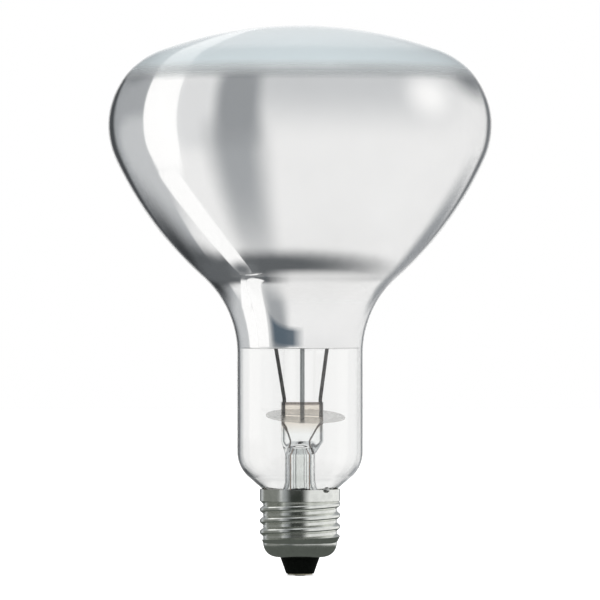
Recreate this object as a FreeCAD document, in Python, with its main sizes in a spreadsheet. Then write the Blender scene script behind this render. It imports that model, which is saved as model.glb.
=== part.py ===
import FreeCAD, Part
import math
import os
import re
import Sketcher

# An infrared heat lamp bulb: a blown reflector bulb with a silvered inside,
# a glass stem with its wires, a wide tungsten filament and a screw cap.
# Millimetres. The lamp stands on its cap: Z is the lamp's axis and points to
# the dome, and the origin is the middle of the contact at the cap's end.
# X runs to the right and -Y to the front, where the side solder is seen.

os.makedirs("parts", exist_ok=True)
doc = FreeCAD.newDocument("heat_lamp_bulb")
sheet = doc.addObject("Spreadsheet::Sheet", "sizes")

# Driving dimensions. Each piece is placed from the piece that carries it.
DRIVING = [
    ("solder_height", 0.35, "solder drop under the contact plate"),
    ("plate_wall", 0.4, "contact plate"),
    ("insulator_drop", 5.35, "black glass below the cap's metal"),
    ("shell_height", 22.1, "cap's metal, from its underside to its rim"),
    ("neck_length", 44.2, "from the rim to where the neck starts to widen"),
    ("flank_height", 74.0, "from there to the widest part"),
    ("dome_rise", 32.6, "from the widest part to the top"),
    ("head_radius", 62.5, "widest part of the bulb"),
    ("shoulder_radius", 26.2, "round edge between side and dome"),
    ("body_radius", 115.8, "long curve of the reflector"),
    ("throat_radius", 32.8, "hollow curve into the neck"),
    ("neck_radius", 20.5, "straight neck"),
    ("heel_radius", 11.0, "round lower edge of the neck"),
    ("heel_angle", 50.0, "degrees between the taper and the axis"),
    ("glass_wall", 1.0, "bulb glass"),
    ("rim_gap", 0.7, "between the glass and the cap's rim"),
    ("seal_wall", 1.0, "glass skirt that is melted to the stem"),
    ("seal_drop", 5.2, "skirt below the rim"),
    ("film", 0.15, "silver coating"),
    ("film_gap", 0.05, "clearance of the coating in the glass"),
    ("film_top_angle", 43.7, "degrees up the shoulder"),
    ("film_foot_angle", 2.7, "degrees up the throat"),
    ("thread_pitch", 3.629, "one turn of the rolled thread"),
    ("thread_radius", 13.15, "crests of the thread and collar"),
    ("thread_depth", 1.096, "crest to root"),
    ("thread_crest", 0.34, "half width of the round top"),
    ("thread_round", 0.70, "half width where the flank begins"),
    ("thread_fall", 0.24, "drop of the round top at its edge"),
    ("thread_foot", 1.40, "half width at the root"),
    ("thread_lift", 3.1, "first crest above the cap's underside"),
    ("thread_angle", 40.0, "degrees from the right to the back, where it begins"),
    ("sheet_wall", 0.3, "brass sheet of the cap"),
    ("collar_drop", 3.8, "lower edge of the plain collar, below the rim"),
    ("foot_radius", 4.6, "round lower edge of the cap"),
    ("fade_height", 2.3, "height over which the first crest grows"),
    ("eye_margin", 1.0, "flat ring round the hole in the cap's underside"),
    ("insulator_taper", 1.9, "radius lost from there to the black glass's tip"),
    ("insulator_cup", 3.2, "black glass inside the cap"),
    ("insulator_hole", 1.0, "hole for the middle wire"),
    ("plate_margin", 0.45, "tip of the black glass beside the plate"),
    ("solder_flat", 1.5, "flat end of the solder drop"),
    ("seal_room", 0.454, "between the skirt and the thread, where the side tail passes"),
    ("cement_drop", 1.4, "upper face of the cement, below the rim"),
    ("cement_height", 2.2, "cement ring"),
    ("stem_shift", 0.75, "press, wires and rod stand a little to the right"),
    ("flare_tube", 4.9, "stem tube"),
    ("tube_wall", 1.0, "stem tube"),
    ("flare_drop", 7.8, "height of the flare"),
    ("flare_lift", 9.0, "from the skirt's end to the top of the flare"),
    ("tube_length", 7.5, "straight tube above the flare"),
    ("web_length", 4.3, "where the tube flattens into the press"),
    ("press_length", 12.7, "flat press"),
    ("press_cover", 0.34, "glass beside the wires"),
    ("press_wall", 5.0, "front to back"),
    ("press_corner", 1.8, "rounded corners"),
    ("bore_cover", 2.3, "glass between the bore and the press"),
    ("exhaust_radius", 2.25, "pumping tube"),
    ("exhaust_wall", 0.85, "pumping tube"),
    ("exhaust_drop", 9.0, "melted end below the skirt"),
    ("exhaust_taper", 3.2, "length of the melted end"),
    ("exhaust_point", 0.8, "radius of the melted tip"),
    ("disc_room", 6.6, "between the mica shield and the neck"),
    ("disc_wall", 0.4, "mica heat shield"),
    ("disc_drop", 4.6, "middle of the shield below the press's top"),
    ("disc_shift", 1.8, "the shield sits to the right"),
    ("disc_pitch_angle", 8.5, "degrees of tilt to the front"),
    ("disc_roll_angle", 2.0, "degrees of tilt to the right"),
    ("lead_radius", 0.6, "nickel wires"),
    ("lead_spread", 5.86, "from the middle of the press"),
    ("lead_seat", 5.2, "depth of the nickel wires in the press"),
    ("lead_bend", 3.0, "bend where they leave the press"),
    ("lead_over", 0.8, "end of the lead above the filament"),
    ("seal_wire", 0.3, "radius of the wire that is sealed in glass"),
    ("seal_bend", 1.0, "bends of the sealed wire"),
    ("seal_show", 1.0, "sealed wire below the closed bore"),
    ("tail_wire", 0.2, "radius of the copper tails"),
    ("tail_drop", 6.5, "below the skirt, where the middle tail turns in"),
    ("tail_lift", 2.3, "above the black glass, where it reaches the axis"),
    ("tail_show", 0.25, "its end above the solder's end face"),
    ("tail_bend", 0.7, "bends of the middle tail"),
    ("side_angle", 50.0, "degrees from the right to the front"),
    ("side_drop", 0.8, "side tail below the skirt"),
    ("side_bend", 0.35, "bends of the side tail"),
    ("blob_radius", 0.95, "solder on the rim"),
    ("rod_radius", 0.75, "middle support rod"),
    ("rod_seat", 6.9, "depth of the rod in the press"),
    ("rod_head_radius", 0.95, "headed end"),
    ("rod_head_height", 0.6, "headed end"),
    ("rod_hold", 1.0, "depth of the rod in the bead"),
    ("bead_drop", 8.0, "underside of the glass bead below the filament"),
    ("bead_height", 4.0, "glass bead"),
    ("bead_face", 1.6, "flat ends of the bead"),
    ("bead_round", 2.13, "rounded side of the bead"),
    ("ring_lift", 32.6, "filament above the throat"),
    ("ring_radius", 18.0, "filament corners"),
    ("ring_step_angle", 44.75, "degrees between filament corners"),
    ("ring_first_angle", -44.5, "degrees, right end of the filament"),
    ("coil_radius", 0.5, "outside of the coiled filament"),
    ("coil_bend", 1.5, "filament at its supports"),
    ("hook_wire", 0.22, "radius of the molybdenum supports"),
    ("hook_root", 1.2, "from the axis, inner end in the bead"),
    ("hook_elbow", 5.0, "from the axis, bend of the support"),
    ("hook_rise", 0.4, "from inner end to bend"),
    ("hook_bend", 1.0, "bend of the support"),
]

# Places that follow from them. Heights are measured from the contact's end face.
DERIVED = [
    ("insulator_foot", "=solder_height + plate_wall"),
    ("cap_foot", "=insulator_foot + insulator_drop"),
    ("rim_height", "=cap_foot + shell_height"),
    ("throat_height", "=rim_height + neck_length"),
    ("head_height", "=throat_height + flank_height"),
    ("overall_length", "=head_height + dome_rise"),
    ("shoulder_mid", "=head_radius - shoulder_radius"),
    ("dome_radius", "=(dome_rise^2 + shoulder_mid^2 - shoulder_radius^2)"
                    " / (2 * (dome_rise - shoulder_radius))"),
    ("dome_lean", "=shoulder_mid / (dome_radius - shoulder_radius)"),
    ("dome_stand", "=(dome_radius - dome_rise) / (dome_radius - shoulder_radius)"),
    ("throat_mid", "=neck_radius + throat_radius"),
    ("reach_side", "=throat_mid - shoulder_mid"),
    ("reach_down", "=throat_height - head_height"),
    ("reach", "=sqrt(reach_side^2 + reach_down^2)"),
    ("upper_arm", "=body_radius - shoulder_radius"),
    ("lower_arm", "=body_radius + throat_radius"),
    ("arm_along", "=(upper_arm^2 - lower_arm^2 + reach^2) / (2 * reach)"),
    ("arm_across", "=sqrt(upper_arm^2 - arm_along^2)"),
    ("body_mid", "=shoulder_mid + (arm_along * reach_side + arm_across * reach_down) / reach"),
    ("body_height", "=head_height + (arm_along * reach_down - arm_across * reach_side) / reach"),
    ("upper_lean", "=(shoulder_mid - body_mid) / upper_arm"),
    ("upper_drop", "=(body_height - head_height) / upper_arm"),
    ("lower_lean", "=(throat_mid - body_mid) / lower_arm"),
    ("lower_drop", "=(body_height - throat_height) / lower_arm"),
    ("rim_inside", "=thread_radius - sheet_wall"),
    ("seal_height", "=rim_height - seal_drop"),
    ("root_radius", "=thread_radius - thread_depth"),
    ("seal_radius", "=root_radius - sheet_wall - seal_room"),
    ("flare_rim", "=seal_radius - seal_wall"),
    ("heel_mid", "=neck_radius - heel_radius"),
    ("heel_height", "=rim_height + (heel_radius - (rim_inside - rim_gap - heel_mid)"
                    " * cos(heel_angle)) / sin(heel_angle)"),
    ("seal_top", "=heel_height - heel_radius * sin(heel_angle)"
                 " - (heel_mid + heel_radius * cos(heel_angle) - seal_radius) / tan(heel_angle)"),
    ("heel_inside", "=heel_radius - glass_wall"),
    ("seal_top_inside", "=heel_height - heel_inside * sin(heel_angle)"
                        " - (heel_mid + heel_inside * cos(heel_angle) - flare_rim) / tan(heel_angle)"),
    ("cement_top", "=rim_height - cement_drop"),
    ("cement_foot", "=cement_top - cement_height"),
    ("flare_bore", "=flare_tube - tube_wall"),
    ("flare_height", "=seal_height + flare_lift"),
    ("flare_round", "=((flare_rim - flare_tube)^2 + flare_drop^2) / (2 * (flare_rim - flare_tube))"),
    ("flare_mid", "=flare_tube + flare_round"),
    ("flare_under", "=flare_mid - flare_bore"),
    ("flare_lip", "=flare_height - sqrt(flare_under^2 - (flare_mid - flare_rim)^2)"),
    ("web_height", "=flare_height + tube_length"),
    ("press_foot", "=web_height + web_length"),
    ("press_top", "=press_foot + press_length"),
    ("press_side", "=lead_spread + lead_radius + press_cover"),
    ("bore_top", "=press_foot - bore_cover"),
    ("exhaust_bore", "=exhaust_radius - exhaust_wall"),
    ("exhaust_tip", "=seal_height - exhaust_drop"),
    ("disc_radius", "=neck_radius - glass_wall - disc_room"),
    ("disc_height", "=press_top - disc_drop"),
    ("lead_foot", "=press_top - lead_seat"),
    ("seal_spread", "=(flare_bore + exhaust_radius) / 2"),
    ("seal_exit", "=bore_top - seal_show"),
    ("thread_start", "=cap_foot + thread_lift"),
    ("thread_sunk", "=thread_foot + sheet_wall * (thread_foot - thread_round)"
                    " / (thread_depth - thread_fall)"),
    ("collar_height", "=rim_height - collar_drop"),
    ("foot_mid", "=root_radius - foot_radius"),
    ("foot_height", "=cap_foot + foot_radius"),
    ("fade_slant", "=sqrt(1 + (thread_depth / fade_height)^2)"),
    ("eye_radius", "=foot_mid - eye_margin"),
    ("insulator_tip", "=eye_radius - insulator_taper"),
    ("insulator_top", "=cap_foot + insulator_cup"),
    ("plate_radius", "=insulator_tip - plate_margin"),
    ("solder_radius", "=solder_flat + solder_height"),
    ("side_radius", "=seal_radius + seal_room / 2"),
    ("side_run", "=seal_height - side_drop"),
    ("tail_turn", "=seal_height - tail_drop"),
    ("tail_axis", "=insulator_top + tail_lift"),
    ("rod_foot", "=press_top - rod_seat"),
    ("ring_height", "=throat_height + ring_lift"),
    ("bead_foot", "=ring_height - bead_drop"),
    ("bead_mid", "=bead_foot + bead_height / 2"),
]

row = 0
for name, value, note in DRIVING:
    row += 1
    sheet.set("A%d" % row, name)
    sheet.set("B%d" % row, str(value))
    sheet.set("C%d" % row, note)
    sheet.setAlias("B%d" % row, name)
for name, formula in DERIVED:
    row += 1
    sheet.set("A%d" % row, name)
    sheet.set("B%d" % row, formula)
    sheet.setAlias("B%d" % row, name)
doc.recompute()
NAMES = set([line[0] for line in DRIVING] + [line[0] for line in DERIVED])


def bound(text):
    """The same expression with each sheet name pointed at the sheet."""
    def point(word):
        name = word.group(0)
        return "sizes." + name if name in NAMES else name
    return re.sub(r"[a-z_]+", point, text)


def size(text):
    """Value of an expression in sheet names."""
    return float(sheet.evalExpression(bound(text)))


def plane(body, role):
    for part in body.Origin.OriginFeatures:
        if part.Role == role:
            return part
    raise ValueError(role)


def new_body(label):
    body = doc.addObject("PartDesign::Body", label)
    body.Label = label
    return body


def new_sketch(body, label, role="XZ_Plane", shift=None, lift=None):
    """Sketch on a main plane of the body, or moved from it to the right and up."""
    sketch = body.newObject("Sketcher::SketchObject", label)
    sketch.AttachmentSupport = [(plane(body, role), "")]
    sketch.MapMode = "FlatFace"
    if lift is not None:
        place = FreeCAD.Vector(size(shift), 0, size(lift))
        sketch.AttachmentOffset = FreeCAD.Placement(place, FreeCAD.Rotation())
        sketch.setExpression("AttachmentOffset.Base.x", bound(shift))
        sketch.setExpression("AttachmentOffset.Base.z", bound(lift))
    return sketch


def round_section(sketch, radius):
    """One circle about the sketch's origin."""
    circle = Part.Circle(FreeCAD.Vector(0, 0, 0), FreeCAD.Vector(0, 0, 1), size(radius))
    index = sketch.addGeometry(circle)
    sketch.addConstraint(Sketcher.Constraint("Coincident", index, 3, -1, 1))
    sketch.addConstraint(Sketcher.Constraint("Radius", index, size(radius)))
    sketch.setExpression("Constraints[1]", bound(radius))
    return sketch


def pin(sketch, geometry, end, across, up):
    """Holds one point of a sketch at two bound distances from the origin."""
    for kind, text, axis in (("DistanceX", across, -2), ("DistanceY", up, -1)):
        if text == "0":
            sketch.addConstraint(Sketcher.Constraint("PointOnObject", geometry, end, axis))
            continue
        index = sketch.addConstraint(Sketcher.Constraint(kind, -1, 1, geometry, end, size(text)))
        sketch.setExpression("Constraints[%d]" % index, bound(text))


def arc_between(start, finish, radius, side):
    """Arc from start to finish; side 1 puts its centre on the left of the way, -1 on the right."""
    middle = (start + finish) * 0.5
    way = finish - start
    half = way.Length / 2
    left = FreeCAD.Vector(-way.y, way.x, 0).normalize()
    centre = middle + left * side * math.sqrt(max(radius * radius - half * half, 0))
    begin, end = (start, finish) if side > 0 else (finish, start)
    first = math.atan2(begin.y - centre.y, begin.x - centre.x)
    last = math.atan2(end.y - centre.y, end.x - centre.x)
    if last < first:
        last += 2 * math.pi
    circle = Part.Circle(centre, FreeCAD.Vector(0, 0, 1), radius)
    return Part.ArcOfCircle(circle, first, last), (1 if side > 0 else 2)


def draw(sketch, outline):
    """Closed outline. Each entry is (across, up) or (across, up, radius, side) for an arc that follows."""
    spots = [FreeCAD.Vector(size(entry[0]), size(entry[1]), 0) for entry in outline]
    ends = []
    for index, entry in enumerate(outline):
        start = spots[index]
        finish = spots[(index + 1) % len(spots)]
        if len(entry) == 2:
            ends.append((sketch.addGeometry(Part.LineSegment(start, finish), False), 1))
            continue
        arc, first_end = arc_between(start, finish, size(entry[2]), entry[3])
        ends.append((sketch.addGeometry(arc, False), first_end))
    for index, (geometry, first_end) in enumerate(ends):
        before, before_first = ends[index - 1]
        meet = Sketcher.Constraint("Coincident", before, 3 - before_first, geometry, first_end)
        sketch.addConstraint(meet)
    for (geometry, first_end), entry in zip(ends, outline):
        pin(sketch, geometry, first_end, entry[0], entry[1])
        if len(entry) > 2:
            index = sketch.addConstraint(Sketcher.Constraint("Radius", geometry, size(entry[2])))
            sketch.setExpression("Constraints[%d]" % index, bound(entry[2]))
    return sketch


def turned(label, outline):
    """A body turned round the lamp's axis from one outline of (radius, height) corners."""
    body = new_body(label)
    sketch = draw(new_sketch(body, label + "_outline"), outline)
    turn = body.newObject("PartDesign::Revolution", label + "_turn")
    turn.Profile = sketch
    turn.ReferenceAxis = (sketch, ["V_Axis"])
    turn.Angle = 360
    sketch.Visibility = False
    return body


def polar(radius, degrees, height):
    turn = math.radians(degrees)
    return FreeCAD.Vector(radius * math.cos(turn), radius * math.sin(turn), height)


def bent_wire(corners, radius, bend):
    """Round wire along straight runs, with an arc at every inner corner."""
    edges = []
    last = corners[0]
    for index in range(1, len(corners) - 1):
        here = corners[index]
        back = (corners[index - 1] - here).normalize()
        ahead = (corners[index + 1] - here).normalize()
        half = back.getAngle(ahead) / 2
        trim = bend / math.tan(half)
        middle = here + (back + ahead).normalize() * (bend / math.sin(half) - bend)
        begin = here + back * trim
        end = here + ahead * trim
        edges.append(Part.makeLine(last, begin))
        edges.append(Part.Arc(begin, middle, end).toShape())
        last = end
    edges.append(Part.makeLine(last, corners[-1]))
    ring = Part.Wire([Part.makeCircle(radius, corners[0], corners[1] - corners[0])])
    return Part.Wire(edges).makePipeShell([ring], True, False)


def shaped(label, shape):
    """A sub-part whose form is worked out by functions from the sheet's sizes."""
    feature = doc.addObject("Part::Feature", label)
    feature.Label = label
    feature.Shape = shape
    return feature


def join(label, kind, pieces):
    """Boolean of document objects: a Cut of the first by the rest, a Fuse or a Common."""
    if kind == "Cut" and len(pieces) > 2:
        tools = join(label + "_tools", "MultiFuse", pieces[1:])
        pieces = [pieces[0], tools]
    result = doc.addObject("Part::" + kind, label)
    result.Label = label
    if kind == "Cut":
        result.Base = pieces[0]
        result.Tool = pieces[1]
    else:
        result.Shapes = pieces
    return result


# Outline of the glass at a depth under its outer face. All arcs keep their centres.

def glass_curve(depth):
    """Corners from the dome's top to the neck's heel, each with the arc that leaves it."""
    dome = "(dome_radius - %s)" % depth
    body = "(body_radius - %s)" % depth
    heel = "(heel_radius - %s)" % depth
    return [
        ("0", "overall_length - %s" % depth, dome, -1),
        (dome + " * dome_lean", "overall_length - dome_radius + %s * dome_stand" % dome,
         "shoulder_radius - %s" % depth, -1),
        ("body_mid + %s * upper_lean" % body, "body_height - %s * upper_drop" % body, body, -1),
        ("body_mid + %s * lower_lean" % body, "body_height - %s * lower_drop" % body,
         "throat_radius + %s" % depth, 1),
        ("neck_radius - %s" % depth, "throat_height"),
        ("neck_radius - %s" % depth, "heel_height", heel, -1),
        ("heel_mid + %s * cos(heel_angle)" % heel, "heel_height - %s * sin(heel_angle)" % heel),
    ]


def backwards(outline):
    """The same outline walked the other way."""
    result = []
    for index in range(len(outline) - 1, -1, -1):
        arc = outline[index - 1][2:] if index > 0 else ()
        if arc:
            arc = (arc[0], -arc[1])
        result.append(outline[index][:2] + arc)
    return result


def glass_envelope():
    outside = glass_curve("0")
    inside = glass_curve("glass_wall")
    skirt = [
        ("seal_radius", "seal_top"),
        ("seal_radius", "seal_height"),
        ("flare_rim", "seal_height"),
        ("flare_rim", "seal_top_inside"),
    ]
    return turned("glass_envelope", outside + skirt + backwards(inside))


def film_curve(depth):
    """The silvered stretch of the same curve, between two angles on its end arcs."""
    body = "(body_radius - %s)" % depth
    shoulder = "(shoulder_radius - %s)" % depth
    throat = "(throat_radius + %s)" % depth
    return [
        ("shoulder_mid + %s * cos(film_top_angle)" % shoulder,
         "head_height + %s * sin(film_top_angle)" % shoulder, shoulder, -1),
        ("body_mid + %s * upper_lean" % body, "body_height - %s * upper_drop" % body, body, -1),
        ("body_mid + %s * lower_lean" % body, "body_height - %s * lower_drop" % body, throat, 1),
        ("throat_mid - %s * cos(film_foot_angle)" % throat,
         "throat_height + %s * sin(film_foot_angle)" % throat),
    ]


def reflector_coating():
    outside = film_curve("(glass_wall + film_gap)")
    inside = film_curve("(glass_wall + film_gap + film)")
    return turned("reflector_coating", outside + backwards(inside))


# Screw cap: rolled thread, collar and round foot, as an outer form less an inner form.

SEAM = 0.001
RIDGE_SHARE = 0.3


def thread_ridge(label, inset):
    """One ridge swept up the helix; its foot is sunk in the core that it stands on."""
    profile = doc.addObject("Sketcher::SketchObject", label + "_profile")
    profile.Placement = FreeCAD.Placement(
        FreeCAD.Vector(0, 0, size("thread_start")),
        FreeCAD.Rotation(FreeCAD.Vector(1, 0, 0), 90))
    profile.setExpression("Placement.Base.z", bound("thread_start"))
    sunk = "root_radius - %s - sheet_wall" % inset
    side = "thread_radius - %s - thread_fall" % inset
    top = "thread_radius - %s" % inset
    if inset == "0":
        grow = "0"
    else:
        grow = "(sheet_wall / 2)"
    draw(profile, [
        (sunk, "-(thread_sunk - %s)" % grow),
        (side, "-(thread_round - %s)" % grow),
        (top, "-(thread_crest - %s / 2)" % grow),
        (top, "thread_crest - %s / 2" % grow),
        (side, "thread_round - %s" % grow),
        (sunk, "thread_sunk - %s" % grow),
    ])
    helix = doc.addObject("Part::Helix", label + "_helix")
    helix.setExpression("Pitch", bound("thread_pitch"))
    helix.setExpression("Height", bound("collar_height + thread_foot - thread_start"))
    helix.setExpression("Radius", bound("root_radius"))
    helix.setExpression("Placement.Base.z", bound("thread_start"))
    doc.recompute()
    ridge = doc.addObject("Part::Sweep", label + "_ridge")
    ridge.Sections = [profile]
    ridge.Spine = (helix, ["Edge1"])
    ridge.Solid = True
    ridge.Frenet = True
    ridge.Placement = FreeCAD.Placement(
        FreeCAD.Vector(0, 0, 0), FreeCAD.Rotation(FreeCAD.Vector(0, 0, 1), size("thread_angle")))
    return ridge


def with_ridge(core, ridge):
    """Core and ridge as one solid. The core's own seam line is turned until the ridge holds on it."""
    least = core.Volume + RIDGE_SHARE * ridge.Volume
    for turn in range(0, 360, 25):
        base = core.copy()
        base.rotate(FreeCAD.Vector(0, 0, 0), FreeCAD.Vector(0, 0, 1), turn)
        whole = base.fuse([ridge], SEAM)
        if whole.isValid() and len(whole.Solids) == 1 and whole.Volume > least:
            return whole
    raise RuntimeError("the thread's ridge doesn't join its core")


def cap_form(label, inset, bottom):
    """Core and collar with the ridge on it, the lowest crest fading out into the foot."""
    root = "root_radius - %s" % inset
    collar = "thread_radius - %s" % inset
    core = turned(label + "_core", bottom + [
        ("foot_mid", "cap_foot + %s" % inset, "foot_radius - %s" % inset, 1),
        (root, "foot_height"),
        (root, "collar_height - thread_depth"),
        (collar, "collar_height"),
        (collar, "rim_height + 4 * %s" % inset),
        ("0", "rim_height + 4 * %s" % inset),
    ])
    limit = turned(label + "_limit", [
        ("0", "cap_foot"),
        ("root_radius - %s * fade_slant - thread_depth / fade_height * foot_radius" % inset, "cap_foot"),
        ("thread_radius + thread_depth - %s * fade_slant" % inset, "foot_height + 2 * fade_height"),
        ("thread_radius + thread_depth - %s * fade_slant" % inset, "rim_height"),
        ("0", "rim_height"),
    ])
    ridge = join(label + "_thread", "MultiCommon", [thread_ridge(label, inset), limit])
    doc.recompute()
    return shaped(label, with_ridge(core.Shape, ridge.Shape))


def cap_shell():
    outer = cap_form("cap_outer_form", "0", [("0", "cap_foot")])
    inner = cap_form("cap_inner_form", "sheet_wall", [
        ("0", "insulator_foot"),
        ("eye_radius", "insulator_foot"),
        ("eye_radius", "cap_foot + sheet_wall"),
    ])
    return join("cap_shell", "Cut", [outer, inner])


def cap_insulator():
    inside = "foot_radius - sheet_wall"
    return turned("cap_insulator", [
        ("insulator_hole", "insulator_foot"),
        ("insulator_tip", "insulator_foot"),
        ("eye_radius", "cap_foot"),
        ("eye_radius", "cap_foot + sheet_wall"),
        ("foot_mid", "cap_foot + sheet_wall", inside, 1),
        ("foot_mid + sqrt((%s)^2 - (foot_height - insulator_top)^2)" % inside, "insulator_top"),
        ("insulator_hole", "insulator_top"),
    ])


def contact_plate():
    return turned("contact_plate", [
        ("insulator_hole", "solder_height"),
        ("plate_radius", "solder_height"),
        ("plate_radius", "insulator_foot"),
        ("insulator_hole", "insulator_foot"),
    ])


def contact_solder(tail):
    drop = turned("contact_solder_drop", [
        ("0", "0"),
        ("solder_flat", "0", "solder_height", 1),
        ("solder_radius", "solder_height"),
        ("insulator_hole", "solder_height"),
        ("insulator_hole", "insulator_foot"),
        ("0", "insulator_foot"),
    ])
    return join("contact_solder", "Cut", [drop, tail])


def capping_cement(tail):
    ring = turned("capping_cement_ring", [
        ("seal_radius", "cement_foot"),
        ("rim_inside", "cement_foot"),
        ("rim_inside", "cement_top"),
        ("seal_radius", "cement_top"),
    ])
    return join("capping_cement", "Cut", [ring, tail])


# Wires, from the filament down to the cap.

def inner_lead(label, side):
    across = size("stem_shift") + side * size("lead_spread")
    corners = [
        FreeCAD.Vector(across, 0, size("lead_foot")),
        FreeCAD.Vector(across, 0, size("press_top + lead_bend / 3")),
        filament_end(side) + FreeCAD.Vector(0, 0, size("lead_over")),
    ]
    return shaped(label, bent_wire(corners, size("lead_radius"), size("lead_bend")))


def seal_wire(label, side):
    across = size("stem_shift") + side * size("lead_spread")
    corners = [
        FreeCAD.Vector(across, 0, size("lead_foot")),
        FreeCAD.Vector(across, 0, size("lead_foot - seal_bend * 1.2")),
        FreeCAD.Vector(side * size("seal_spread"), 0, size("press_foot")),
        FreeCAD.Vector(side * size("seal_spread"), 0, size("seal_exit")),
    ]
    return shaped(label, bent_wire(corners, size("seal_wire"), size("seal_bend")))


def centre_tail():
    corners = [
        FreeCAD.Vector(-size("seal_spread"), 0, size("seal_exit")),
        FreeCAD.Vector(-size("seal_spread"), 0, size("tail_turn")),
        FreeCAD.Vector(0, 0, size("tail_axis")),
        FreeCAD.Vector(0, 0, size("tail_show")),
    ]
    return shaped("centre_lead_tail", bent_wire(corners, size("tail_wire"), size("tail_bend")))


def side_tail():
    """Out under the glass skirt, up beside it and along the glass over the rim into the solder."""
    way = -size("side_angle")
    pass_radius = size("rim_inside - rim_gap / 2")
    rise = 1 / math.tan(math.radians(size("heel_angle")))

    def on_glass(radius):
        return polar(radius, way, size("rim_height") + (radius - pass_radius) * rise)

    corners = [
        FreeCAD.Vector(size("seal_spread"), 0, size("seal_exit")),
        FreeCAD.Vector(size("seal_spread"), 0, size("side_run")),
        polar(size("side_radius"), way, size("side_run")),
        on_glass(size("side_radius")),
        on_glass(size("thread_radius")),
    ]
    return shaped("side_lead_tail", bent_wire(corners, size("tail_wire"), size("side_bend")))


def rim_solder(tail, glass):
    """A drop on the rim, cut where the rim, the wire and the glass fill it."""
    drop = doc.addObject("Part::Sphere", "rim_solder_drop")
    drop.setExpression("Radius", bound("blob_radius"))
    drop.setExpression("Placement.Base.x", bound("(thread_radius + sheet_wall) * cos(side_angle)"))
    drop.setExpression("Placement.Base.y", bound("-(thread_radius + sheet_wall) * sin(side_angle)"))
    drop.setExpression("Placement.Base.z", bound("rim_height"))
    rim = turned("rim_solder_seat", [
        ("rim_inside", "rim_height - 4 * blob_radius"),
        ("thread_radius", "rim_height - 4 * blob_radius"),
        ("thread_radius", "rim_height"),
        ("rim_inside", "rim_height"),
    ])
    return join("rim_solder", "Cut", [drop, rim, tail, glass])


# Stem: flared tube, flat press with the wires in it, pumping tube and heat shield.

def press_section(label, height):
    """Rounded section of the press at one height."""
    frame = new_body(label)
    sketch = new_sketch(frame, label + "_outline", "XY_Plane", "stem_shift", height)
    wide = "press_side"
    deep = "press_wall / 2"
    draw(sketch, [
        (wide, "-(%s - press_corner)" % deep),
        (wide, "%s - press_corner" % deep, "press_corner", 1),
        ("%s - press_corner" % wide, deep),
        ("-(%s - press_corner)" % wide, deep, "press_corner", 1),
        ("-(%s)" % wide, "%s - press_corner" % deep),
        ("-(%s)" % wide, "-(%s - press_corner)" % deep, "press_corner", 1),
        ("-(%s - press_corner)" % wide, "-(%s)" % deep),
        ("%s - press_corner" % wide, "-(%s)" % deep, "press_corner", 1),
    ])
    return frame, sketch


def press_block():
    frame, sketch = press_section("stem_press", "press_foot")
    block = frame.newObject("PartDesign::Pad", "stem_press_block")
    block.Profile = sketch
    block.setExpression("Length", bound("press_top - press_foot"))
    block.Length = size("press_top - press_foot")
    return frame


def stem_web():
    """The tube flattened into the press, between a circle and the press section."""
    frame, upper = press_section("stem_web", "press_foot")
    lower = new_sketch(frame, "stem_web_circle", "XY_Plane", "0", "web_height")
    round_section(lower, "flare_tube")
    loft = frame.newObject("PartDesign::AdditiveLoft", "stem_web_loft")
    loft.Profile = lower
    loft.Sections = [(upper, [""])]
    return frame


def glass_stem(press, wires):
    outside = turned("stem_flare", [
        ("0", "web_height"),
        ("0", "flare_lip"),
        ("flare_rim", "flare_lip"),
        ("flare_rim", "flare_height - flare_drop", "flare_round", -1),
        ("flare_tube", "flare_height"),
        ("flare_tube", "web_height"),
    ])
    bore = turned("stem_bore", [
        ("0", "bore_top"),
        ("0", "flare_lip - seal_wall"),
        ("flare_rim", "flare_lip - seal_wall"),
        ("flare_rim", "flare_lip", "flare_under", -1),
        ("flare_bore", "flare_height"),
        ("flare_bore", "bore_top"),
    ])
    glass = join("stem_glass", "MultiFuse", [outside, stem_web(), press])
    return join("glass_stem", "Cut", [glass, bore] + wires)


def exhaust_tube():
    shoulder = "exhaust_tip + exhaust_taper"
    return turned("exhaust_tube", [
        ("exhaust_bore", "bore_top"),
        ("exhaust_bore", shoulder),
        ("0", "exhaust_tip + exhaust_taper / 2"),
        ("0", "exhaust_tip"),
        ("exhaust_point", "exhaust_tip"),
        ("exhaust_radius", shoulder),
        ("exhaust_radius", "bore_top"),
    ])


def heat_disc(press):
    """Mica sheet pushed over the press, a little askew."""
    blank = new_body("heat_disc_blank")
    sketch = round_section(new_sketch(blank, "heat_disc_outline", "XY_Plane"), "disc_radius")
    pad = blank.newObject("PartDesign::Pad", "heat_disc_sheet")
    pad.Profile = sketch
    pad.Midplane = True
    pad.Length = size("disc_wall")
    pad.setExpression("Length", bound("disc_wall"))
    pitch = FreeCAD.Rotation(FreeCAD.Vector(1, 0, 0), size("disc_pitch_angle"))
    roll = FreeCAD.Rotation(FreeCAD.Vector(0, 1, 0), size("disc_roll_angle"))
    blank.Placement = FreeCAD.Placement(FreeCAD.Vector(0, 0, 0), roll * pitch)
    blank.setExpression("Placement.Base.x", bound("disc_shift"))
    blank.setExpression("Placement.Base.z", bound("disc_height"))
    return join("heat_disc", "Cut", [blank, press])


def support_rod():
    rod = turned("support_rod", [
        ("0", "rod_foot"),
        ("rod_head_radius", "rod_foot"),
        ("rod_head_radius", "rod_foot + rod_head_height"),
        ("rod_radius", "rod_foot + rod_head_height"),
        ("rod_radius", "bead_foot + rod_hold"),
        ("0", "bead_foot + rod_hold"),
    ])
    rod.setExpression("Placement.Base.x", bound("stem_shift"))
    return rod


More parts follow.
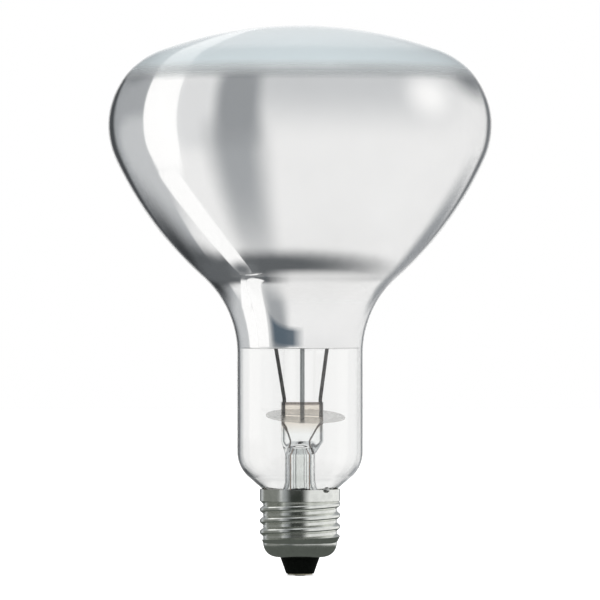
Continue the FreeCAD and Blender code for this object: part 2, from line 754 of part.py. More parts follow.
def support_bead(rod, hooks):
    bead = turned("support_bead_glass", [
        ("0", "bead_foot"),
        ("bead_face", "bead_foot", "bead_round", 1),
        ("bead_face", "bead_foot + bead_height"),
        ("0", "bead_foot + bead_height"),
    ])
    bead.setExpression("Placement.Base.x", bound("stem_shift"))
    return join("support_bead", "Cut", [bead, rod] + hooks)


# Filament: a coil hung in a wide open ring from five supports, between the two leads.

HOOKS = 5


def ring_way(index):
    return size("ring_first_angle + %d * ring_step_angle" % index)


def corner(index):
    return polar(size("ring_radius"), ring_way(index), size("ring_height"))


def filament_end(side):
    return corner(0) if side > 0 else corner(HOOKS + 1)


def filament_coil():
    corners = [corner(index) for index in range(HOOKS + 2)]
    return shaped("filament_coil", bent_wire(corners, size("coil_radius"), size("coil_bend")))


def hook_form(index):
    """Support wire in the plane of X and Z, with its eye round the filament, then turned to its place."""
    half_turn = math.radians(size("ring_step_angle")) / 2
    bend = size("coil_bend")
    inset = bend / math.cos(half_turn) - bend
    eye = FreeCAD.Vector(size("ring_radius") - inset, 0, size("ring_height"))
    root = FreeCAD.Vector(size("hook_root"), 0, size("bead_mid"))
    elbow = FreeCAD.Vector(size("hook_elbow"), 0, size("bead_mid + hook_rise"))
    ring = size("coil_radius + hook_wire")
    arrive = eye + (elbow - eye).normalize() * ring
    wire = bent_wire([root, elbow, arrive], size("hook_wire"), size("hook_bend"))
    loop = Part.makeTorus(ring, size("hook_wire"), eye, FreeCAD.Vector(0, 1, 0))
    hook = shaped("filament_hook_%d" % index, wire.fuse(loop))
    hook.Placement = FreeCAD.Placement(
        FreeCAD.Vector(0, 0, 0), FreeCAD.Rotation(FreeCAD.Vector(0, 0, 1), ring_way(index)))
    return hook


lead_right = inner_lead("inner_lead_right", 1)
lead_left = inner_lead("inner_lead_left", -1)
seal_right = seal_wire("seal_wire_right", 1)
seal_left = seal_wire("seal_wire_left", -1)
tail_centre = centre_tail()
tail_side = side_tail()
rod = support_rod()
press = press_block()
envelope = glass_envelope()
coil = filament_coil()
hooks = [hook_form(index) for index in range(1, HOOKS + 1)]

KEPT = [
    envelope,
    reflector_coating(),
    glass_stem(press, [lead_left, lead_right, seal_left, seal_right, rod]),
    exhaust_tube(),
    heat_disc(press),
    lead_left,
    lead_right,
    seal_left,
    seal_right,
    tail_centre,
    tail_side,
    rod,
    support_bead(rod, hooks),
    join("filament", "Cut", [coil, lead_left, lead_right]),
    cap_shell(),
    cap_insulator(),
    contact_plate(),
    contact_solder(tail_centre),
    rim_solder(tail_side, envelope),
    capping_cement(tail_side),
]
for index, hook in enumerate(hooks):
    KEPT.append(join("filament_support_%d" % (index + 1), "Cut", [hook, coil]))

doc.recompute()

for item in doc.Objects:
    if "Invalid" in item.State or "Error" in item.State:
        raise RuntimeError("%s: %s" % (item.Label, item.State))
for item in KEPT:
    shape = item.Shape
    if shape.isNull() or not shape.isValid():
        raise RuntimeError("%s: no valid shape" % item.Label)
    shape.exportStep(os.path.join("parts", item.Label + ".step"))
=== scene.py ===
import math

import bmesh
import bpy
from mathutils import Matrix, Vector

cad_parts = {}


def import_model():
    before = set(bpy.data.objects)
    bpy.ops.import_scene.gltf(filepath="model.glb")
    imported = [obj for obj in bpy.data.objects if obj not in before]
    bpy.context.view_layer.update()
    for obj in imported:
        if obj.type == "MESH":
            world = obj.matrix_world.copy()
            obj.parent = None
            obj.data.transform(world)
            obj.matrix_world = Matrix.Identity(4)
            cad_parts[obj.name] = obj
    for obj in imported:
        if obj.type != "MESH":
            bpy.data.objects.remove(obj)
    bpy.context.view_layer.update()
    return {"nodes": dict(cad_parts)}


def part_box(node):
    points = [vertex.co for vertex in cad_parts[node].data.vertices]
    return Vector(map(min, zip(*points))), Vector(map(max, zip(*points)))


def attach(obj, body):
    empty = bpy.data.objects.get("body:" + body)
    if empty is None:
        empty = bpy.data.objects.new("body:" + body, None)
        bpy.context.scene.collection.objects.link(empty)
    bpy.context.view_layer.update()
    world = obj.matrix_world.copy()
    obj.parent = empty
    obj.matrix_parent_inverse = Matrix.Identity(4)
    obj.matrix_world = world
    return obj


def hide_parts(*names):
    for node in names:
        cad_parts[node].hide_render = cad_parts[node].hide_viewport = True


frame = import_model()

MM = 0.001

# Sizes in millimetres, as in the part's source. Z is the lamp's axis.
OVERALL_LENGTH = 179.0
HEAD_RADIUS = 62.5
HEAD_HEIGHT = 146.4
SHOULDER_RADIUS = 26.2
BODY_RADIUS = 115.8
THROAT_RADIUS = 32.8
THROAT_HEIGHT = 72.4
NECK_RADIUS = 20.5
HEEL_RADIUS = 11.0
HEEL_SLOPE = math.radians(50)
GLASS_WALL = 1.0
SEAL_HEIGHT = 23.0
SEAL_RADIUS = 11.3
FLARE_RIM = 10.3
CAP_RADIUS = 13.15
CAP_SHEET = 0.3
CAP_RIM = 28.2
RIM_GAP = 0.7

# The visible silver ends where its solid does. It is a little thinner and closer to the glass.
FILM_GAP = 0.02
FILM_WALL = 0.12
FILM_TOP = math.radians(43.7)
FILM_FOOT = math.radians(2.7)
FILM_EDGE = HEAD_HEIGHT + SHOULDER_RADIUS * math.sin(FILM_TOP)

# Heights at which a finish is nil and full: the silver, which thins out upward, the dome's etching,
# the press's browning and its dark upper edge. Faces over SATIN_FOOT wear the satin glass.
SILVERED = (163.6, 160.5)
ETCHED = (FILM_EDGE - 4.2, FILM_EDGE + 1.8)
SATIN_FOOT = FILM_EDGE - 4.5
PRESS_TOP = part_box("glass_stem")[1].z / MM
BROWNED = (PRESS_TOP - 10.5, PRESS_TOP - 6.5)
BURNT = (PRESS_TOP - 1.2, PRESS_TOP - 0.7)

# Centres of the outline's arcs.
SHOULDER_MID = HEAD_RADIUS - SHOULDER_RADIUS
DOME_RISE = OVERALL_LENGTH - HEAD_HEIGHT
DOME_RADIUS = ((DOME_RISE ** 2 + SHOULDER_MID ** 2 - SHOULDER_RADIUS ** 2)
               / (2 * (DOME_RISE - SHOULDER_RADIUS)))
THROAT_MID = NECK_RADIUS + THROAT_RADIUS
HEEL_MID = NECK_RADIUS - HEEL_RADIUS
HEEL_SIDE = (CAP_RADIUS - CAP_SHEET - RIM_GAP - HEEL_MID) * math.cos(HEEL_SLOPE)
HEEL_HEIGHT = CAP_RIM + (HEEL_RADIUS - HEEL_SIDE) / math.sin(HEEL_SLOPE)

# Divisions of each arc and straight stretch, and of the full turn.
DOME_STEPS = 40
SHOULDER_STEPS = 40
BODY_STEPS = 48
THROAT_STEPS = 40
NECK_STEPS = 12
HEEL_STEPS = 16
TURN_STEPS = 192


def body_centre():
    """Centre of the long arc that touches the shoulder from inside and the throat from outside."""
    side = THROAT_MID - SHOULDER_MID
    down = THROAT_HEIGHT - HEAD_HEIGHT
    reach = math.hypot(side, down)
    upper = BODY_RADIUS - SHOULDER_RADIUS
    lower = BODY_RADIUS + THROAT_RADIUS
    along = (upper ** 2 - lower ** 2 + reach ** 2) / (2 * reach)
    across = math.sqrt(upper ** 2 - along ** 2)
    return (SHOULDER_MID + (along * side + across * down) / reach,
            HEAD_HEIGHT + (along * down - across * side) / reach)


BODY_MID, BODY_HEIGHT = body_centre()
DOME_EDGE = math.atan2(HEAD_HEIGHT - (OVERALL_LENGTH - DOME_RADIUS), SHOULDER_MID)
BODY_TOP = math.atan2(HEAD_HEIGHT - BODY_HEIGHT, SHOULDER_MID - BODY_MID)
BODY_FOOT = math.atan2(THROAT_HEIGHT - BODY_HEIGHT, THROAT_MID - BODY_MID)

# Share that keeps the turned meshes inside the CAD model's box.
BULB_LOW, BULB_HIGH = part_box("glass_envelope")
SQUEEZE = min(BULB_HIGH.x, -BULB_LOW.x, BULB_HIGH.y, -BULB_LOW.y) / (HEAD_RADIUS * MM)


def arc(mid, height, radius, start, end, steps):
    """Points (radius, height) from one angle to another, both ends included."""
    points = []
    for step in range(steps + 1):
        angle = start + (end - start) * step / steps
        points.append((mid + radius * math.cos(angle), height + radius * math.sin(angle)))
    return points


def head_curve(depth, top, foot):
    """The glass outline at a depth under its face, from a shoulder angle down to a throat angle."""
    shoulder = arc(SHOULDER_MID, HEAD_HEIGHT, SHOULDER_RADIUS - depth, top, BODY_TOP, SHOULDER_STEPS)
    body = arc(BODY_MID, BODY_HEIGHT, BODY_RADIUS - depth, BODY_TOP, BODY_FOOT, BODY_STEPS)
    throat = arc(THROAT_MID, THROAT_HEIGHT, THROAT_RADIUS + depth,
                 BODY_FOOT + math.pi, math.pi - foot, THROAT_STEPS)
    return shoulder + body[1:] + throat[1:]


def glass_curve(depth, skirt_radius):
    """The whole outline at a depth under its face, from the top of the dome to the skirt's end."""
    dome = arc(0, OVERALL_LENGTH - DOME_RADIUS, DOME_RADIUS - depth, math.pi / 2, DOME_EDGE, DOME_STEPS)
    neck_height = HEEL_HEIGHT - THROAT_HEIGHT
    neck = [(NECK_RADIUS - depth, THROAT_HEIGHT + neck_height * step / NECK_STEPS)
            for step in range(1, NECK_STEPS)]
    heel_radius = HEEL_RADIUS - depth
    heel = arc(HEEL_MID, HEEL_HEIGHT, heel_radius, 0, -HEEL_SLOPE, HEEL_STEPS)
    taper_radius = HEEL_MID + heel_radius * math.cos(HEEL_SLOPE)
    taper_height = HEEL_HEIGHT - heel_radius * math.sin(HEEL_SLOPE)
    skirt_top = taper_height - (taper_radius - skirt_radius) / math.tan(HEEL_SLOPE)
    skirt = [(skirt_radius, skirt_top), (skirt_radius, SEAL_HEIGHT)]
    return dome[:-1] + head_curve(depth, DOME_EDGE, 0) + neck + heel + skirt


def lathe(name, outline):
    """Closed turned mesh from a loop of (radius, height) in millimetres."""
    on_axis = 1e-6
    mesh = bmesh.new()
    rings = []
    for radius, height in outline:
        if radius < on_axis:
            rings.append([mesh.verts.new((0, 0, height * MM))])
            continue
        reach = radius * SQUEEZE * MM
        turns = [2 * math.pi * step / TURN_STEPS for step in range(TURN_STEPS)]
        rings.append([mesh.verts.new((reach * math.cos(turn), reach * math.sin(turn), height * MM))
                      for turn in turns])
    for here, after in zip(rings, rings[1:] + rings[:1]):
        if len(here) == 1 and len(after) == 1:
            continue
        for step in range(TURN_STEPS):
            beside = (step + 1) % TURN_STEPS
            if len(here) == 1:
                mesh.faces.new((here[0], after[step], after[beside]))
            elif len(after) == 1:
                mesh.faces.new((here[step], after[0], here[beside]))
            else:
                mesh.faces.new((here[step], after[step], after[beside], here[beside]))
    bmesh.ops.recalc_face_normals(mesh, faces=mesh.faces)
    return finish_mesh(name, mesh)


def finish_mesh(name, mesh, smooth=True):
    data = bpy.data.meshes.new(name)
    mesh.to_mesh(data)
    mesh.free()
    for face in data.polygons:
        face.use_smooth = smooth
    piece = bpy.data.objects.new(name, data)
    bpy.context.scene.collection.objects.link(piece)
    return piece


# Materials.

# Places of the colour sockets on a Mix node.
MIX_FIRST = 6
MIX_SECOND = 7
MIX_RESULT = 2


class Nodes:
    """Short hand for the nodes of one material or world."""

    def __init__(self, owner, output="ShaderNodeOutputMaterial"):
        owner.use_nodes = True
        self.owner = owner
        self.tree = owner.node_tree
        self.tree.nodes.clear()
        self.out = self.add(output)

    def add(self, kind, **values):
        node = self.tree.nodes.new(kind)
        for key, value in values.items():
            setattr(node, key, value)
        return node

    def feed(self, value, socket):
        """Links another node's output to a socket, or sets the socket to a plain value."""
        if isinstance(value, bpy.types.NodeSocket):
            self.tree.links.new(value, socket)
        elif socket.type == "RGBA":
            socket.default_value = (*value, 1)
        else:
            socket.default_value = value

    def place(self):
        return self.add("ShaderNodeTexCoord").outputs["Object"]

    def split(self, source):
        node = self.add("ShaderNodeSeparateXYZ")
        self.feed(source, node.inputs[0])
        return node.outputs

    def maths(self, operation, *values):
        node = self.add("ShaderNodeMath", operation=operation)
        for value, socket in zip(values, node.inputs):
            self.feed(value, socket)
        return node.outputs[0]

    def noise(self, scale, detail=2.0, stretch=(1, 1, 1)):
        mapping = self.add("ShaderNodeMapping")
        self.feed(self.place(), mapping.inputs["Vector"])
        self.feed(stretch, mapping.inputs["Scale"])
        node = self.add("ShaderNodeTexNoise")
        self.feed(mapping.outputs["Vector"], node.inputs["Vector"])
        self.feed(scale, node.inputs["Scale"])
        self.feed(detail, node.inputs["Detail"])
        return node.outputs["Fac"]

    def ramp(self, source, low, high, start=0.3, end=0.7, curve="LINEAR"):
        """Goes from low to high while the source goes from start to end."""
        node = self.add("ShaderNodeMapRange", interpolation_type=curve)
        self.feed(source, node.inputs["Value"])
        self.feed(start, node.inputs["From Min"])
        self.feed(end, node.inputs["From Max"])
        self.feed(low, node.inputs["To Min"])
        self.feed(high, node.inputs["To Max"])
        return node.outputs["Result"]

    def rise(self, nil, full):
        """Goes from 0 to 1 between two heights in millimetres."""
        return self.ramp(self.split(self.place())["Z"], 0, 1, nil * MM, full * MM)

    def mix(self, factor, one, two):
        node = self.add("ShaderNodeMix", data_type="RGBA")
        self.feed(factor, node.inputs["Factor"])
        self.feed(one, node.inputs[MIX_FIRST])
        self.feed(two, node.inputs[MIX_SECOND])
        return node.outputs[MIX_RESULT]

    def bump(self, height, strength, distance):
        node = self.add("ShaderNodeBump")
        self.feed(height, node.inputs["Height"])
        self.feed(strength, node.inputs["Strength"])
        self.feed(distance, node.inputs["Distance"])
        return node.outputs["Normal"]

    def blend(self, factor, one, two):
        node = self.add("ShaderNodeMixShader")
        for value, socket in zip((factor, one, two), node.inputs):
            self.feed(value, socket)
        return node.outputs[0]

    def glow(self, colour):
        node = self.add("ShaderNodeEmission")
        self.feed(colour, node.inputs["Color"])
        return node.outputs[0]

    def surface(self, **values):
        """Ends the material in a Principled shader. Its sockets are named with _ for each space."""
        node = self.add("ShaderNodeBsdfPrincipled")
        for key, value in values.items():
            self.feed(value, node.inputs[key.replace("_", " ")])
        return self.show(node.outputs["BSDF"])

    def show(self, shader):
        self.feed(shader, self.out.inputs["Surface"])
        return self.owner


def material_nodes(name):
    return Nodes(bpy.data.materials.new(name))


def clear_glass(name, tint, index=1.5):
    """Clear glass with the faint waves of blown glass."""
    kit = material_nodes(name)
    waves = kit.bump(kit.noise(60, detail=1.0), strength=0.05, distance=0.0004)
    return kit.surface(Base_Color=tint, Roughness=0.0, IOR=index, Transmission_Weight=1.0, Normal=waves)


def press_glass(name, tint, browned, burnt):
    """Stem glass whose flat press is browned, most of all along its upper edge."""
    kit = material_nodes(name)
    colour = kit.mix(kit.rise(*BURNT), kit.mix(kit.rise(*BROWNED), tint, browned), burnt)
    dents = kit.bump(kit.noise(400), strength=0.2, distance=0.0003)
    return kit.surface(Base_Color=colour, Roughness=0.02, IOR=1.54, Transmission_Weight=1.0, Normal=dents)


def mica(name, dark, light):
    """Pale split mica that lets some light through."""
    kit = material_nodes(name)
    flakes = kit.noise(180, detail=4.0)
    colour = kit.mix(kit.ramp(flakes, 0, 1), dark, light)
    relief = kit.bump(flakes, strength=0.2, distance=0.0001)
    return kit.surface(Base_Color=colour, Roughness=kit.ramp(flakes, 0.15, 0.4), IOR=1.56, Alpha=0.33,
                       Normal=relief)


def satin_glass(name, clear, satin, roughness, passing):
    """Etched glass: part clear with a rough face, part milky. The etching fades out downward."""
    kit = material_nodes(name)
    etched = kit.rise(*ETCHED)
    return kit.surface(Base_Color=kit.mix(etched, clear, satin), IOR=1.5,
                       Roughness=kit.ramp(etched, 0.02, roughness, 0, 1),
                       Transmission_Weight=kit.ramp(etched, 1, passing, 0, 1),
                       Coat_Weight=etched, Coat_IOR=1.9, Coat_Roughness=0.06,
                       Normal=kit.bump(kit.noise(2500), strength=0.1, distance=0.00003))


def metal(name, dark, light, smooth, rough, scale=900, stretch=(1, 1, 1), bump=0.1, metallic=1.0,
          specular=0.5, fade=None):
    """Metal or other opaque finish with mottled colour, uneven gloss and a fine grain.

    fade gives the heights at which it is nil and full."""
    kit = material_nodes(name)
    grain = kit.noise(scale, 4.0, stretch)
    gloss = kit.noise(scale * 0.4, 3.0, stretch)
    return kit.surface(Base_Color=kit.mix(kit.ramp(grain, 0, 1), dark, light),
                       Roughness=kit.ramp(gloss, smooth, rough),
                       Metallic=metallic, Specular_IOR_Level=specular,
                       Alpha=kit.rise(*fade) if fade else 1.0,
                       Normal=kit.bump(grain, bump, distance=0.00005))


BLOWN_TINT = (0.962, 0.962, 0.957)
STEM_TINT = (0.95, 0.965, 0.96)
GLASS = clear_glass("clear_blown_glass", BLOWN_TINT)
STEM_GLASS = clear_glass("stem_glass", STEM_TINT, index=1.54)
TUBE_GLASS = clear_glass("pumping_tube_glass", (0.97, 0.975, 0.965), index=1.1)
PRESS_GLASS = press_glass("press_glass", STEM_TINT, (0.80, 0.74, 0.66), (0.20, 0.17, 0.15))
FROST = satin_glass("satin_dome_glass", BLOWN_TINT, (0.70, 0.79, 0.82), 0.40, 0.20)
MICA = mica("mica_sheet", (0.74, 0.70, 0.62), (0.92, 0.90, 0.84))
SILVER = metal("silver_coating", (0.915, 0.912, 0.915), (0.945, 0.942, 0.945), 0.03, 0.07,
               scale=40, bump=0.0, fade=SILVERED)
NICKEL = metal("nickel_wire", (0.05, 0.048, 0.046), (0.12, 0.117, 0.11), 0.35, 0.55)
ROD = metal("drawn_rod", (0.25, 0.27, 0.27), (0.36, 0.38, 0.38), 0.25, 0.4, stretch=(1, 1, 0.05))
SEALING = metal("sealing_wire", (0.12, 0.08, 0.06), (0.22, 0.14, 0.1), 0.35, 0.5)
COPPER = metal("copper_wire", (0.30, 0.19, 0.13), (0.45, 0.28, 0.19), 0.3, 0.5)
TUNGSTEN = metal("tungsten_coil", (0.10, 0.10, 0.105), (0.2, 0.2, 0.21), 0.3, 0.5)
MOLYBDENUM = metal("molybdenum_wire", (0.2, 0.2, 0.21), (0.33, 0.33, 0.34), 0.25, 0.4)
CAP = metal("plated_cap", (0.74, 0.75, 0.715), (0.84, 0.85, 0.81), 0.14, 0.24, scale=500, bump=0.05)
BLACK = metal("black_cap_glass", (0.003, 0.004, 0.003), (0.005, 0.006, 0.005), 0.2, 0.35,
              metallic=0.0, specular=0.06)
BRASS = metal("contact_brass", (0.55, 0.5, 0.38), (0.66, 0.61, 0.48), 0.25, 0.45)
SOLDER = metal("soft_solder", (0.4, 0.4, 0.39), (0.6, 0.6, 0.58), 0.25, 0.45, scale=700)
CEMENT = metal("cap_cement", (0.55, 0.51, 0.44), (0.68, 0.64, 0.57), 0.7, 0.9, bump=0.4, metallic=0.0)


def wear(piece, *materials):
    piece.data.materials.clear()
    for material in materials:
        piece.data.materials.append(material)


# Bulb glass and its silver coating.

def bulb():
    outline = glass_curve(0, SEAL_RADIUS) + glass_curve(GLASS_WALL, FLARE_RIM)[::-1]
    piece = lathe("blown_bulb", outline)
    wear(piece, GLASS, FROST)
    middle = Vector((0, 0, HEAD_HEIGHT * MM))
    for face in piece.data.polygons:
        outward = face.normal.dot(face.center - middle) > 0
        if outward and face.center.z > SATIN_FOOT * MM:
            face.material_index = 1
    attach(piece, "root")
    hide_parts("glass_envelope")


def silvering():
    depth = GLASS_WALL + FILM_GAP
    outline = (head_curve(depth, FILM_TOP, FILM_FOOT)
               + head_curve(depth + FILM_WALL, FILM_TOP, FILM_FOOT)[::-1])
    piece = lathe("silvering", outline)
    wear(piece, SILVER)
    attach(piece, "root")
    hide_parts("reflector_coating")


bulb()
silvering()

for material, nodes in (
    (PRESS_GLASS, ("glass_stem",)),
    (TUBE_GLASS, ("exhaust_tube",)),
    (STEM_GLASS, ("support_bead",)),
    (MICA, ("heat_disc",)),
    (NICKEL, ("inner_lead_left", "inner_lead_right")),
    (SEALING, ("seal_wire_left", "seal_wire_right")),
    (COPPER, ("centre_lead_tail", "side_lead_tail")),
    (ROD, ("support_rod",)),
    (TUNGSTEN, ("filament",)),
    (MOLYBDENUM, ["filament_support_%d" % number for number in range(1, 6)]),
    (CAP, ("cap_shell",)),
    (BLACK, ("cap_insulator",)),
    (BRASS, ("contact_plate",)),
    (SOLDER, ("contact_solder", "rim_solder")),
    (CEMENT, ("capping_cement",)),
):
    for node in nodes:
        wear(frame["nodes"][node], material)


# Studio: floor, light tent, cards, world, lamps and camera. Its sizes are in metres, but those of
# the cards near the lamp and of the camera's sensor are in millimetres.

FLOOR_HALF = 3.0
CAMERA_AWAY = 2.0
FRAME_WIDTH = 0.1953
FRAME_MIDDLE = 0.0897
SENSOR = 36.0
LAMP_SIZE = 0.8
WORLD_LIGHT = 0.5
WHITE = (1, 1, 1)


def hide(piece, glossy=True, transmission=True):
    """Leaves a studio piece to be seen only in bare metal, glossy, and in or through glass, transmission."""
    piece.visible_camera = False
    piece.visible_diffuse = False
    piece.visible_shadow = False
    piece.visible_glossy = glossy
    piece.visible_transmission = transmission


def floor(colour, glow):
    """Pale floor that shows near white to the camera, and keeps its shadows."""
    mesh = bmesh.new()
    bmesh.ops.create_grid(mesh, x_segments=4, y_segments=4, size=FLOOR_HALF)
    piece = finish_mesh("studio_floor", mesh, False)
    kit = material_nodes("studio_floor_paint")
    level = kit.maths("MULTIPLY", kit.add("ShaderNodeLightPath").outputs["Is Camera Ray"], glow)
    wear(piece, kit.surface(Base_Color=colour, Roughness=0.9, Emission_Color=WHITE, Emission_Strength=level))
    piece.visible_glossy = False
    piece.visible_transmission = False


# Soft panels of the light tent. Each is placed by the turn and tilt, in degrees, of the mirror that
# shows it to the camera: middle to the right and up, half size each way, lean to the right with
# height, how square the outline is, edge softness and level. Later panels lie over earlier ones.
PANELS = (
    # Grey fields over the body and the dome.
    (12, 40, 60, 56, 0, 4, 0.75, 0.68),
    (0, 70, 200, 40, 0, 4, 0.55, 0.40),
    # Light beside the bright strip, and the grey stripe to its right.
    (-34, 8, 8, 36, 0, 4, 0.50, 0.84),
    (-20, -20, 14, 36, 0, 3, 0.80, 0.43),
    (-19, 16, 10, 44, 0, 4, 0.60, 0.36),
    # Bright spot and dark shoulder on the right.
    (43, 20, 13, 24, 0, 2, 0.90, 1.08),
    (70, 36, 22, 24, 0, 2, 0.90, 0.30),
    # Greys and darks to the left of the strip, then the lower right.
    (-66, 0, 14, 70, 0, 8, 0.10, 0.45),
    (-58, -14, 16, 28, 0, 3, 0.50, 0.64),
    (-72, -42, 22, 22, 0, 2, 0.85, 0.06),
    (-58, -46, 22, 9, 0, 2, 0.70, 0.10),
    (-66, 44, 14, 18, 0, 2, 0.80, 0.26),
    (70, -38, 12, 22, 0, 2, 0.80, 0.40),
    # Dark band over the neck.
    (-30, -45.4, 120, 4.8, 0, 2, 0.75, 0.14),
    # Ground and sky, for the other views.
    (0, -80, 200, 31, 0, 6, 0.40, 0.70),
    (0, 92, 200, 34, 0, 6, 0.45, 0.80),
    # Bright strip, its slanted lower part and the gap at its foot.
    (-46.8, 24, 7.6, 52, 0, 8, 0.08, 1.16),
    (-40.9, -36, 5.4, 11.5, -0.72, 8, 0.08, 1.16),
    (-34, -46, 14, 3, 0, 2, 0.90, 0.20),
    # Dark outlines.
    (-80, 0, 7.5, 70, 0, 4, 0.50, 0.09),
    (80.5, 0, 7, 70, 0, 4, 0.60, 0.22),
)
TENT_RADIUS = 4.0
TENT_LEVEL = 0.97
# Shares of the radius between which the tent turns white, right behind the lamp.
TENT_REAR = (0.945, 0.98)


def tinted(level):
    """Colour of one level: neutral when bright, cooler when dim."""
    cool = 0.07 * max(0, 1 - level)
    return (level * (1 - cool), level, level * (1 + cool))


def tent():
    """Light tent with soft panels, seen only in the lamp's metal and glass."""
    mesh = bmesh.new()
    bmesh.ops.create_icosphere(mesh, subdivisions=4, radius=TENT_RADIUS)
    piece = finish_mesh("light_tent", mesh)
    piece.location.z = FRAME_MIDDLE
    kit = material_nodes("light_tent_paint")
    maths = kit.maths
    side, depth, rise = kit.split(kit.place())
    ahead = maths("SUBTRACT", TENT_RADIUS, depth)
    reach = maths("SQRT", maths("MULTIPLY", ahead, 2 * TENT_RADIUS))
    turn = maths("DEGREES", maths("ARCTAN2", side, ahead))
    tilt = maths("DEGREES", maths("ARCSINE", maths("DIVIDE", rise, reach)))
    colour = tinted(TENT_LEVEL)
    for middle, up, half_across, half_up, lean, power, soft, level in PANELS:
        height = maths("SUBTRACT", tilt, up)
        offset = maths("SUBTRACT", maths("SUBTRACT", turn, middle), maths("MULTIPLY", height, lean))
        across = maths("POWER", maths("ABSOLUTE", maths("DIVIDE", offset, half_across)), power)
        along = maths("POWER", maths("ABSOLUTE", maths("DIVIDE", height, half_up)), power)
        spread = maths("POWER", maths("ADD", across, along), 1 / power)
        cover = kit.ramp(spread, 0, 1, 1, 1 - soft, "SMOOTHSTEP")
        colour = kit.mix(cover, colour, tinted(level))
    behind = kit.ramp(maths("DIVIDE", depth, TENT_RADIUS), 0, 1, *TENT_REAR)
    colour = kit.mix(behind, colour, WHITE)
    wear(piece, kit.show(kit.glow(colour)))
    hide(piece)


def card(name, rows, colour, soft, behind_glass):
    """Glowing card near the lamp that fades out toward its ends and its long sides.

    Each row has two points, one on each long side, and soft gives the shares of the card that fade at
    each end and along each side. behind_glass says that the lamp's glass and the silver in it show
    the card. Otherwise its bare metal does."""
    mesh = bmesh.new()
    layer = mesh.loops.layers.uv.new("UVMap")
    rows = [[mesh.verts.new(Vector(point) * MM) for point in row] for row in rows]
    last = len(rows) - 1
    for step in range(last):
        here, after = rows[step], rows[step + 1]
        face = mesh.faces.new((here[0], after[0], after[1], here[1]))
        for loop, (along, across) in zip(face.loops, ((0, 0), (1, 0), (1, 1), (0, 1))):
            loop[layer].uv = ((step + along) / last, across)
    piece = finish_mesh(name, mesh, False)
    kit = material_nodes(name + "_paint")
    place = kit.split(kit.add("ShaderNodeUVMap").outputs["UV"])
    ends, sides = [kit.ramp(kit.maths("PINGPONG", place[axis], 0.5), 0, 1, 0, fade)
                   for axis, fade in zip("XY", soft)]
    clear = kit.add("ShaderNodeBsdfTransparent").outputs[0]
    wear(piece, kit.show(kit.blend(kit.maths("MULTIPLY", ends, sides), clear, kit.glow(colour))))
    hide(piece, glossy=not behind_glass, transmission=behind_glass)


def flag(name, start, end, low, high, colour, soft, behind_glass):
    """Upright card from start to end in plan, and between two heights."""
    card(name, [((*place, low), (*place, high)) for place in (start, end)], colour, soft, behind_glass)


def low_card(name, half, height, colour, soft):
    """Level square card round the foot of the cap, seen only in the metal."""
    rows = [((side, -half, height), (side, half, height)) for side in (-half, half)]
    card(name, rows, colour, soft, False)


def collar_card(name, height, inner, outer, start, end, colour, soft):
    """Level card round the throat, from start to end in degrees from the front, seen in the silver."""
    steps = 24
    rows = []
    for step in range(steps + 1):
        angle = math.radians(start + (end - start) * step / steps)
        across, ahead = math.sin(angle), -math.cos(angle)
        rows.append([(reach * across, reach * ahead, height) for reach in (inner, outer)])
    card(name, rows, colour, soft, True)


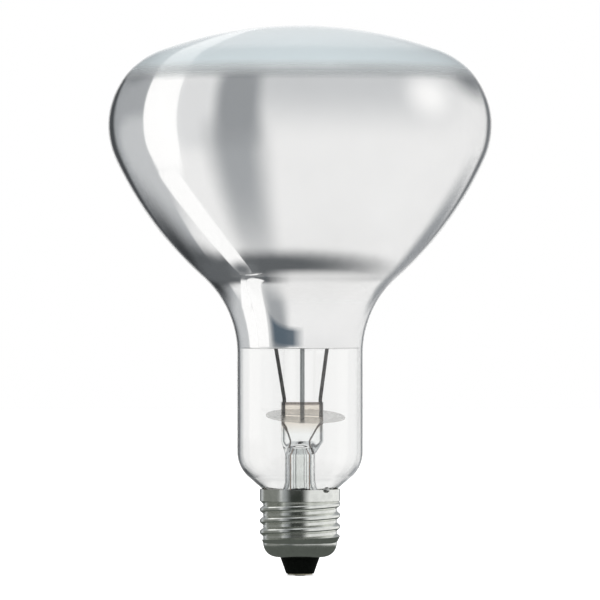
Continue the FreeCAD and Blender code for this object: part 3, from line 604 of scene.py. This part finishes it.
def cards():
    """Cards for what depends on the place in the lamp, not only on the mirror's tilt."""
    # Bright strip and grey patch in the silver over its foot.
    flag("throat_light", start=(-29, -16), end=(-20.5, -24), low=71.5, high=84,
         colour=(1.16, 1.16, 1.16), soft=(0.08, 0.08), behind_glass=True)
    flag("throat_flag", start=(-19, -24), end=(2, -24), low=73, high=79.5,
         colour=(0.10, 0.135, 0.17), soft=(0.25, 0.25), behind_glass=True)
    # Light that takes a second dark band off the throat.
    collar_card("throat_collar", height=88, inner=24.8, outer=33.3, start=-27, end=85,
                colour=(0.97, 0.97, 0.97), soft=(0.18, 0.47))
    # Dark and grey stripes down the cap, and the grey of its foot.
    flag("cap_flag", start=(-34, -45), end=(20, -45), low=2, high=38,
         colour=(0.03, 0.035, 0.03), soft=(0.28, 0.28), behind_glass=False)
    flag("left_flag", start=(-50, -40), end=(-50, 30), low=0, high=45,
         colour=(0.23, 0.24, 0.225), soft=(0.1, 0.1), behind_glass=False)
    low_card("low_card", half=110, height=-0.1, colour=(0.10, 0.11, 0.10), soft=(0.3, 0.3))


def world():
    """White to the camera and in glass and metal, and a plain soft light on everything."""
    sky = bpy.data.worlds.new("studio_world")
    bpy.context.scene.world = sky
    kit = Nodes(sky, "ShaderNodeOutputWorld")
    rays = kit.add("ShaderNodeLightPath").outputs
    mirrored = kit.maths("MAXIMUM", rays["Is Glossy Ray"], rays["Is Transmission Ray"])
    seen = kit.maths("MAXIMUM", rays["Is Camera Ray"], mirrored)
    lights = []
    for strength in (WORLD_LIGHT, 1.0):
        light = kit.add("ShaderNodeBackground")
        kit.feed(WHITE, light.inputs["Color"])
        kit.feed(strength, light.inputs["Strength"])
        lights.append(light.outputs[0])
    kit.show(kit.blend(seen, *lights))


def lamp(name, place, power):
    data = bpy.data.lights.new(name, "AREA")
    data.shape = "DISK"
    data.size = LAMP_SIZE
    data.energy = power
    light = bpy.data.objects.new(name, data)
    light.location = place
    aim = Vector((0, 0, FRAME_MIDDLE)) - Vector(place)
    light.rotation_euler = aim.to_track_quat("-Z", "Y").to_euler()
    light.visible_glossy = False
    light.visible_transmission = False
    bpy.context.scene.collection.objects.link(light)


def camera():
    data = bpy.data.cameras.new("camera")
    data.sensor_width = SENSOR
    data.lens = SENSOR * CAMERA_AWAY / FRAME_WIDTH
    data.clip_start = 0.05
    data.clip_end = 20
    view = bpy.data.objects.new("camera", data)
    view.location = (0, -CAMERA_AWAY, FRAME_MIDDLE)
    view.rotation_euler = (math.pi / 2, 0, 0)
    bpy.context.scene.collection.objects.link(view)
    bpy.context.scene.camera = view


floor(colour=(0.9, 0.9, 0.9), glow=0.56)
tent()
cards()
world()
lamp("key_lamp", place=(-0.9, -1.1, 1.3), power=14)
lamp("fill_lamp", place=(1.1, -0.8, 1.0), power=8)
lamp("back_lamp", place=(0.0, 1.2, 1.2), power=8)
camera()

bpy.context.scene.view_settings.view_transform = "Standard"
